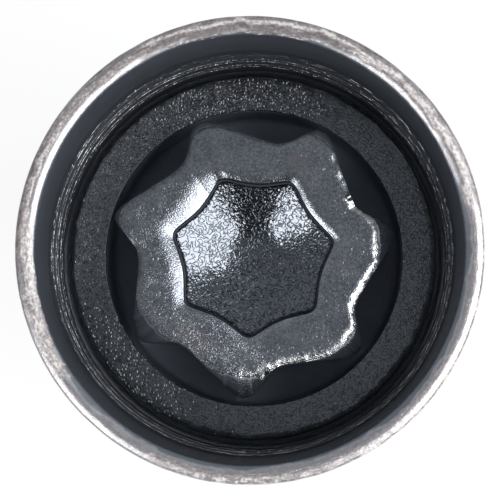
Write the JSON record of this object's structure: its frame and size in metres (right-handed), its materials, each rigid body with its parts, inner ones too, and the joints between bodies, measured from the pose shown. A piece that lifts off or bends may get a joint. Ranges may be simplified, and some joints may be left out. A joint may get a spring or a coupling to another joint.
{
  "type": "locking wheel nut",
  "caption": "Locking wheel nut with a conical seat and a blind stud thread. A lobed key post stands deep in a cup, inside an outer collar that spins freely.",
  "frame": {"origin": "middle of the flat end of the conical seat, on the surface that the nut stands on", "axes": "+Z along the nut's axis, from the conical seat towards the open outer end; +X is square to it, through no feature"},
  "size_m": [0.026, 0.026, 0.04],
  "materials": {
    "core_steel": "black oxide, pitted, worn bare on the key lobes",
    "collar_steel": "black oxide, rim worn to stained bare steel",
    "spring_wire": "oiled spring steel wire"
  },
  "bodies": {
    "nut": {"nut_body": "core_steel"},
    "collar": {"spin_collar": "collar_steel", "retaining_ring": "spring_wire"}
  },
  "joints": [
    {"name": "collar_spin", "type": "hinge", "parent": "nut", "child": "collar", "pos_m": [0, 0, 0.025], "axis": [0, 0, 1], "continuous": true}
  ]
}
